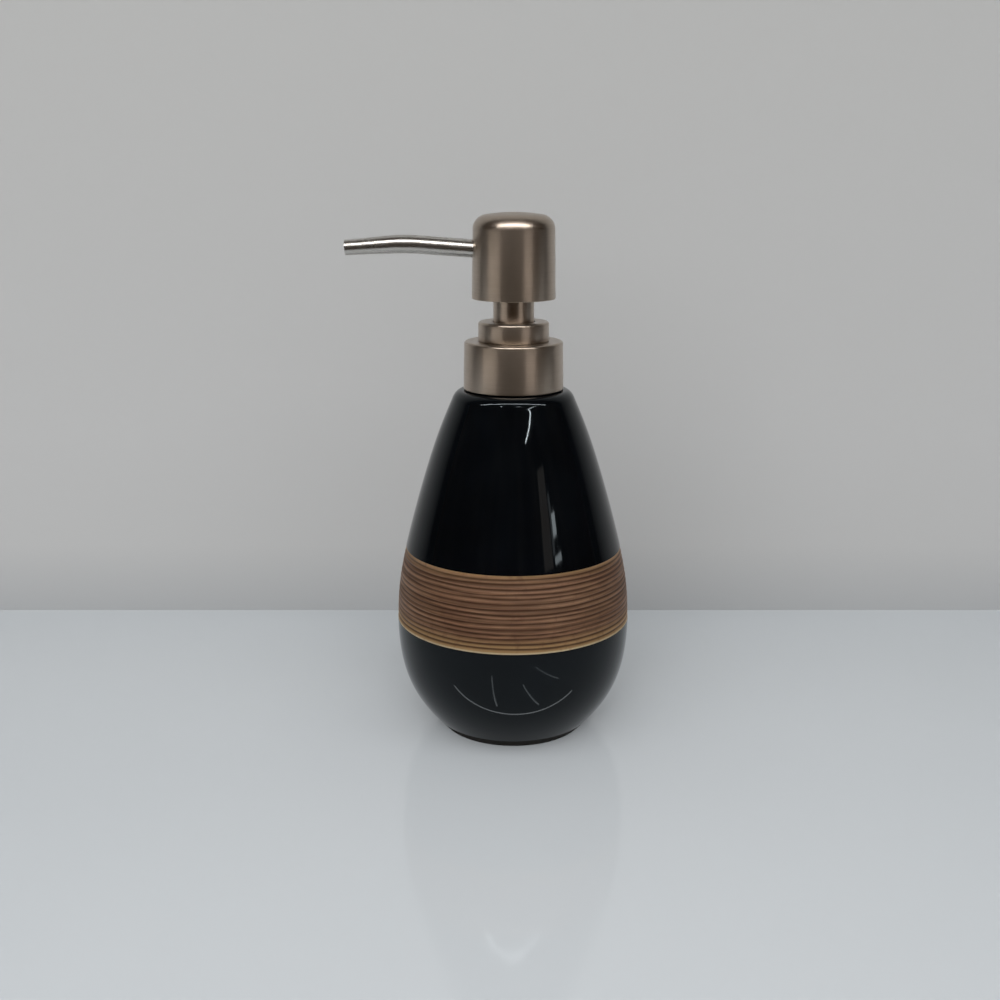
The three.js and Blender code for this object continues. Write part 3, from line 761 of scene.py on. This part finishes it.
def make_screw_parts(black):
    """The ferrule in the neck and the nut in the collar, each with its thread, and the chaplet."""
    ferrule = lathe("neck_ferrule", "neck_insert", "bottle", black, [
        (11, 108.8), (13.2, 108.8), (13.2, 118.35), (15.3, 118.35), (15.3, 119.75), (12.6, 119.75),
        (12.6, 128.8), (11, 128.8)], 0.2, 128)
    combine(ferrule, [thread(12.25, 1.08)], "UNION")
    nut = lathe("closure_liner", "closure_nut", "closure", black, [
        (14.2, 120.1), (15.6, 120.1), (15.6, 133.9), (10, 133.9), (10, 131.45), (14.2, 131.45)], 0.2, 128)
    combine(nut, [thread(14.56, 0.93)], "UNION")
    lathe("chaplet_liner", "chaplet", "pump", black, [
        (8.6, 131.5), (9.75, 131.5), (9.75, 134.7), (11.12, 134.7), (11.12, 139.8), (10.62, 140.3),
        (7.05, 140.3), (7.05, 135.95), (8.6, 135.95)])


def make_barrel(natural):
    """The pump's barrel with its flange, ball seat and spigot, and the vent hole in its side."""
    barrel = lathe("pump_barrel", "pump_cylinder", "pump", natural, [
        (3.1, 60), (4.5, 60), (4.5, 66), (7.2, 70.5), (7.2, 117.4), (8.45, 119.4), (8.45, 130.1),
        (13.2, 130.1), (13.2, 131.3), (8.45, 131.3), (8.45, 134.2), (7.3, 134.2), (7.3, 119.4), (6, 118.2),
        (6, 74), (3.4, 74), (3.4, 70.2), (1.4, 68.2), (1.4, 67.3), (3.1, 67.3)], 0.25, 112)
    vent = 116 * MM
    combine(barrel, [drill((4.2 * MM, 0, vent), (10.2 * MM, 0, vent), 0.8)])


def make_dip_tube(natural):
    """The dip tube, cut off at a slant at its lower end."""
    outer, bottom, slanted_part = 3, 9.5, 12 * MM
    tube = lathe("dip_tube_bent", "dip_tube", "pump", natural, [
        (2.1, bottom), (outer, bottom), (outer, 14.5), (outer, 67), (2.1, 67), (2.1, 14.5)], 0.08, 64)
    slant = math.tan(math.radians(35))
    for vertex in tube.data.vertices:
        if vertex.co.z < slanted_part:
            vertex.co.z += slant * (vertex.co.x + outer * MM)
    tube.data.update()


def make_valves(white):
    """The cage over the lower ball, with four holes, and both balls."""
    cage = lathe("ball_cage_disc", "ball_cage", "pump", white, [
        (1.3, 74.05), (5.85, 74.05), (5.85, 75.25), (1.3, 75.25)], 0.12)
    holes = []
    for i in range(4):
        a = TAU * (i + 0.5) / 4
        x, y = 2.7 * MM * math.cos(a), 2.7 * MM * math.sin(a)
        holes.append(drill((x, y, 72 * MM), (x, y, 77 * MM), 0.75))
    combine(cage, holes)
    for name, node, body in (("valve_ball_low", "inlet_ball", "inlet_valve"),
                             ("valve_ball_high", "outlet_ball", "outlet_valve")):
        _, low, top = box_span(node)
        middle, radius = (low + top) / 2, (top - low) / 2
        arc = []
        for a in np.linspace(0, math.pi, 33):
            arc.append(Vector((radius * math.sin(a), middle - radius * math.cos(a))))
        arc[0].x = arc[-1].x = 0
        finish_piece(revolve(name, arc, [polished_ball()], 64, closes=False), body, [node])


def make_spring():
    """The return spring with its closed ends."""
    low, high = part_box("return_spring")
    wire, coil_radius, turns = 0.45, 4.3, 7  # mm, mm and turns
    start, end = low.z / MM + wire, high.z / MM - wire
    closed = 0.95  # height of the closed turn at each end
    inner = np.linspace(start + closed, end - closed, 6)
    coils = helix(coil_radius, [start, *inner, end], turns)
    spring = sweep("coil_spring", coils, [wire * MM] * len(coils), [spring_wire()], 16)
    finish_piece(spring, "pump", ["return_spring"])
    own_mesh(spring)


def make_piston(white):
    """The cup piston and the hollow rod with its cross port."""
    lathe("piston_cup", "piston_seal", "piston", white, [
        (3.12, 107.6), (4.88, 107.6), (5.88, 107.9), (5.88, 108.8), (4.58, 109.6), (4.58, 113.2),
        (5.88, 114), (5.88, 114.9), (4.88, 115.2), (3.12, 115.2)], 0.12)
    rod = lathe("stem_rod", "piston_rod", "head", white, [
        (0, 101), (5.2, 101), (5.2, 103.4), (3, 104.4), (3, 151), (1.6, 151), (1.6, 103.8), (0, 103.8)],
        0.2, closes=False)
    port, reach = 105.8 * MM, 6 * MM
    combine(rod, [drill((-reach, 0, port), (reach, 0, port), 0.9)])


def make_head_core(black):
    """The head's core, with the socket for the spout and the channel that leads to it."""
    core = lathe("head_core", "actuator_core", "head", black, [
        (0, 164.4), (1.6, 164.4), (1.6, 155.52), (2.7, 155.52), (2.7, 151.2), (3.1, 151.2), (3.1, 141),
        (6.14, 141), (6.14, 155), (12.5, 155), (12.5, 169), (9.5, 172), (0, 172)], 0.15, closes=False)
    socket = spout_centres(-20 * MM, -6.9 * MM, 6)
    channel = 162.8 * MM
    combine(core, [
        sweep("socket", socket, [SPOUT_HOLE] * len(socket), [], 64),
        drill((-9 * MM, 0, channel), (0, 0, channel), 1.6)])


# ------------------------------------------------------------------ stage

WALL_Y = 0.112
WALL_HALF_WIDTH = 1.5
WALL_HEIGHT = 1.5
FLOOR_REACH = 3.0
ROOM_RADIUS = 2.6
ROOM_CENTRE_Y = 0.06
ROOM_HALF_ANGLE = 96  # degrees to either side of straight in front
ROOM_FRONT = 0.2  # the dark room's floor begins this far in front of the pump axis
ROOM_LIFT = 0.002  # height of the dark floor and gap under the flags
FLAG_INNER = 0.12
FLAG_OUTER = 1.7
FLAG_HEIGHT = 1.6
FLAG_GAP = 0.003  # in front of the wall


def wall_material():
    """Painted wall, with painted shade in its colour: a little darker just above the floor and darker higher
    up, to even out the light on it; clear from behind.
    """
    n = Nodes("wall_paint")
    uneven = n.ramp(n.noise(2.5, 3, 0.5), 0.35, 0.65)
    height = n.add("ShaderNodeSeparateXYZ", {"Vector": n.place()}).outputs["Z"]
    lit = n.mix(uneven, rgb(0.518, 0.516, 0.512), rgb(0.536, 0.534, 0.53))
    # Painted shade: darker higher up (fully from 25 cm) to even out the light on the wall, and darker in the
    # last 3 cm above the floor.
    lit = n.mix(n.ramp(height, 0.08, 0.25), lit, rgb(0.455, 0.452, 0.443))
    n.set(Base_Color=n.mix(n.ramp(height, 0.0, 0.03), rgb(0.44, 0.447, 0.453), lit), Roughness=0.6)
    n.shader.inputs["Specular IOR Level"].default_value = 0.25
    back = n.add("ShaderNodeNewGeometry").outputs["Backfacing"]
    clear = n.add("ShaderNodeBsdfTransparent").outputs["BSDF"]
    mixed = n.add("ShaderNodeMixShader", {0: back, 1: n.shader.outputs["BSDF"], 2: clear})
    n.tree.links.new(mixed.outputs[0], n.tree.nodes["Material Output"].inputs["Surface"])
    return n.material


def floor_material():
    """Pale polished table top."""
    n = Nodes("floor_paint")
    uneven = n.ramp(n.noise(3.0, 3, 0.5), 0.35, 0.65)
    n.set(Base_Color=n.mix(uneven, rgb(0.517, 0.544, 0.565), rgb(0.535, 0.562, 0.583)), Roughness=0.07)
    n.shader.inputs["Specular IOR Level"].default_value = 0.4
    return n.material


def panel(name, corners, material):
    """A flat piece with four corners."""
    return new_piece(name, corners, [[0, 1, 2, 3]], [material])


def make_stage():
    r = FLOOR_REACH
    floor = panel("floor", [(-r, -r, 0), (r, -r, 0), (r, r, 0), (-r, r, 0)], floor_material())
    w, y, top = WALL_HALF_WIDTH, WALL_Y, WALL_HEIGHT
    wall = panel("wall", [(-w, y, 0), (w, y, 0), (w, y, top), (-w, y, top)], wall_material())


def flag_material():
    """Dark to the sides and clear near the object, so that reflections of the wall fade out sideways."""
    n = Nodes("dark_flag")
    across = n.math("ABSOLUTE", n.add("ShaderNodeSeparateXYZ", {"Vector": n.place()}).outputs["X"])
    uneven = n.noise(2.0, 2, 0.5)
    n.set(Base_Color=rgb(0.01, 0.01, 0.01), Roughness=1.0, Alpha=n.ramp(across, 0.12, 0.6))
    n.set(Emission_Color=n.mix(uneven, rgb(0.008, 0.008, 0.008), rgb(0.03, 0.03, 0.03)))
    n.shader.inputs["Emission Strength"].default_value = 1.0
    n.shader.inputs["Specular IOR Level"].default_value = 0.0
    return n.material


def room_material():
    """The faint uneven glow of an unlit room."""
    n = Nodes("dark_room")
    streaks = n.ramp(n.noise((3.0, 3.0, 0.6), 2, 0.5), 0.45, 0.7)
    n.set(Base_Color=rgb(0.01, 0.01, 0.01), Roughness=1.0)
    n.set(Emission_Color=n.mix(streaks, rgb(0.02, 0.012, 0.006), rgb(0.1, 0.078, 0.06)))
    n.shader.inputs["Emission Strength"].default_value = 1.0
    return n.material


def make_dome(material, around=24, up=8):
    """Half of a hollow sphere in front of the object."""
    verts, faces = [], []
    for i in range(up + 1):
        elevation = math.pi / 2 * i / up
        flat, z = ROOM_RADIUS * math.cos(elevation), ROOM_RADIUS * math.sin(elevation)
        for j in range(around + 1):
            azimuth = math.radians(ROOM_HALF_ANGLE * (2 * j / around - 1))
            verts.append((flat * math.sin(azimuth), ROOM_CENTRE_Y - flat * math.cos(azimuth), z))
    for i in range(up):
        for j in range(around):
            a = i * (around + 1) + j
            faces.append([a, a + 1, a + around + 2, a + around + 1])
    return new_piece("dark_room", verts, faces, [material])


def make_dark_room():
    """The unlit room, which only reflections see: a dome, its floor and two flags before the wall."""
    material = room_material()
    pieces = [make_dome(material)]
    w, near, z = ROOM_RADIUS, -ROOM_FRONT, ROOM_LIFT
    pieces.append(panel("dark_floor", [(-w, -w, z), (w, -w, z), (w, near, z), (-w, near, z)], material))
    y, top = WALL_Y - FLAG_GAP, FLAG_HEIGHT
    for name, side in (("dark_flag_left", -1), ("dark_flag_right", 1)):
        x0, x1 = side * FLAG_INNER, side * FLAG_OUTER
        pieces.append(panel(name, [(x0, y, z), (x1, y, z), (x1, y, top), (x0, y, top)], flag_material()))
    for piece in pieces:
        piece.visible_camera = False
        piece.visible_diffuse = False
        piece.visible_transmission = False
        piece.visible_shadow = False


# ------------------------------------------------------------------ light

STRIP_HEIGHT = 1.0
STRIP_WIDTH = 0.017
FLOOR_STRIP_WIDTH = 0.026
STRIP_GLOW = 86.0
# Most of the strips' places were traced back from strokes of light in the photo, and rounded.
STRIPS = [  # both ends of each ceiling strip light, seen from above
    ((-1.25, -0.45), (1.2, -0.47)),
    ((-0.48, -1.02), (-0.47, -0.88)),
    ((0.1, -1.06), (0.24, -0.95)),
    ((0.53, -1.54), (0.85, -0.8)),
]
FLOOR_STRIPS = [  # the same for strips that the belly sees mirrored in the floor, with their glow
    ((-1.21, -0.5), (1.1, -0.4), 4.6),
    ((-0.62, -1.56), (-0.26, -0.64), 2.8),
    ((0.24, -1.37), (0.42, -0.62), 2.8),
    ((0.76, -1.89), (1.17, -1.03), 2.6),
]
CEILING_PLACE = (0, -0.71, 1.0)
CEILING_AIM = (0, -0.71, 0)
CEILING_SIZE = (2.3, 1.0)
METAL_PIECES = ["head_cap", "stem_tube", "chaplet_collar", "closure_collar", "spout"]


def area_light(name, place, aim, size, glow, colour=(1, 1, 1), glossy=True):
    """A rectangular light; glow is its brightness, so its power follows from its size."""
    data = bpy.data.lights.new(name, "AREA")
    data.shape = "RECTANGLE"
    data.size, data.size_y = size
    data.energy = glow * math.pi * size[0] * size[1]
    data.color = colour
    light = bpy.data.objects.new(name, data)
    light.location = place
    light.rotation_euler = (Vector(aim) - Vector(place)).to_track_quat("-Z", "Y").to_euler()
    light.visible_glossy = glossy
    light.visible_camera = False
    bpy.context.collection.objects.link(light)
    return light


def card(name, azimuth, distance, width, bottom, top, glow, colour=(1, 1, 1)):
    """An upright light card; azimuth in degrees from straight in front, positive to the right."""
    a = math.radians(azimuth)
    middle = (bottom + top) / 2
    place = (distance * math.sin(a), -distance * math.cos(a), middle)
    return area_light(name, place, (0, 0, middle), (width, top - bottom), glow, colour)


def strip_light(name, start, end, height, width, glow):
    """A narrow level strip between two points, which shines towards the floor's plane."""
    start, end = Vector((*start, height)), Vector((*end, height))
    strip = area_light(name, (start + end) / 2, (0, 0, 0), ((end - start).length, width), glow)
    strip.rotation_euler = (0 if height > 0 else math.pi, 0, math.atan2(end.y - start.y, end.x - start.x))
    return strip


def light_group(name, pieces, state="INCLUDE"):
    """Pieces that a light reaches, or with EXCLUDE the pieces that it ignores."""
    group = bpy.data.collections.new(name)
    for piece in pieces:
        group.objects.link(bpy.data.objects[piece])
    for entry in group.collection_objects:
        entry.light_linking.link_state = state
    return group


def shine_on(group, *lights):
    """These lights reach only the pieces of the group."""
    for light in lights:
        light.light_linking.receiver_collection = group


def make_strips(glaze):
    """Strip lights that show in the glaze; those under the floor shine through it."""
    clear_floor = light_group("clear_floor", ["floor"], "EXCLUDE")
    for index, (start, end) in enumerate(STRIPS):
        shine_on(glaze, strip_light(f"strip_{index}", start, end, STRIP_HEIGHT, STRIP_WIDTH, STRIP_GLOW))
    for index, (start, end, glow) in enumerate(FLOOR_STRIPS):
        strip = strip_light(f"floor_strip_{index}", start, end, -STRIP_HEIGHT, FLOOR_STRIP_WIDTH, glow)
        strip.light_linking.blocker_collection = clear_floor
        shine_on(glaze, strip)


def make_room_light():
    """Soft light on everything, with more on the wall and the floor; none of it shows in reflections."""
    ceiling = area_light("ceiling", CEILING_PLACE, CEILING_AIM, CEILING_SIZE, 2.65, glossy=False)
    shine_on(light_group("on_wall", ["wall"]), ceiling)
    ceiling_floor = area_light("ceiling_floor", CEILING_PLACE, CEILING_AIM, CEILING_SIZE, 1.4, glossy=False)
    front = area_light("front", (0, -2.4, 0.9), (0, 0, 0), (2.4, 0.6), 12.0, glossy=False)
    shine_on(light_group("on_floor", ["floor"]), ceiling_floor, front)
    area_light("key", (-0.55, -1.6, 0.8), (0, 0, 0.05), (1.6, 0.8), 2.0, glossy=False)
    area_light("overhead", (0, -0.2, 1.5), (0, -0.2, 0), (2.0, 1.4), 0.07, glossy=False)


def make_object_light(glaze):
    """A key and two cards that show in the metal, and a door and a window that show in the glaze."""
    shine_on(
        light_group("on_metal", METAL_PIECES),
        card("card_left", -57, 0.85, 0.55, 0.0, 0.1, 1.45, (1.0, 0.96, 0.91)),
        card("card_right", 39, 0.85, 0.36, 0.0, 0.1, 1.4, (1.0, 0.93, 0.88)),
        area_light("metal_key", (0, -1.0, 1.11), (0, 0, 0.15), (2.4, 0.34), 7.8),
    )
    shine_on(
        glaze,
        card("door", 37, 1.2, 0.2, 0.23, 0.56, 0.7, (1.0, 0.82, 0.72)),
        card("window_high", 47, 1.2, 0.09, 0.31, 0.375, 9.0),
        card("window_middle", 44, 1.2, 0.05, 0.27, 0.44, 1.2),
        card("window_low", 48, 1.2, 0.16, 0.235, 0.262, 7.0),
    )


def make_world():
    world = bpy.data.worlds.new("room")
    bpy.context.scene.world = world
    world.use_nodes = True
    background = world.node_tree.nodes["Background"]
    background.inputs["Color"].default_value = (0.97, 0.985, 1.0, 1)
    background.inputs["Strength"].default_value = 0.22


# ------------------------------------------------------------------ the scene

make_camera()
nickel = satin_nickel()
steel = bright_steel()
black = moulded_plastic("black_plastic", (0.014, 0.0145, 0.016), (0.022, 0.022, 0.024), 0.42)
white = moulded_plastic("white_plastic", (0.72, 0.72, 0.69), (0.8, 0.8, 0.77), 0.35, subsurface=0.1)
natural = moulded_plastic("natural_plastic", (0.6, 0.62, 0.6), (0.7, 0.72, 0.71), 0.3, subsurface=0.3)
rubber = moulded_plastic("silicone", (0.5, 0.49, 0.45), (0.58, 0.57, 0.52), 0.6, grain=900)
foam = moulded_plastic("foam", (0.78, 0.77, 0.73), (0.88, 0.87, 0.84), 0.85, grain=2600)

make_bottle()
make_closure(nickel)
make_chaplet(nickel)
make_sleeve(nickel)
make_head(nickel)
make_spout(steel)
make_seals(rubber, foam)
make_screw_parts(black)
make_barrel(natural)
make_dip_tube(natural)
make_valves(white)
make_spring()
make_piston(white)
make_head_core(black)

make_stage()
make_dark_room()
on_glaze = light_group("on_glaze", ["bottle"])
make_strips(on_glaze)
make_room_light()
make_object_light(on_glaze)
make_world()
bpy.context.scene.view_settings.view_transform = "Standard"
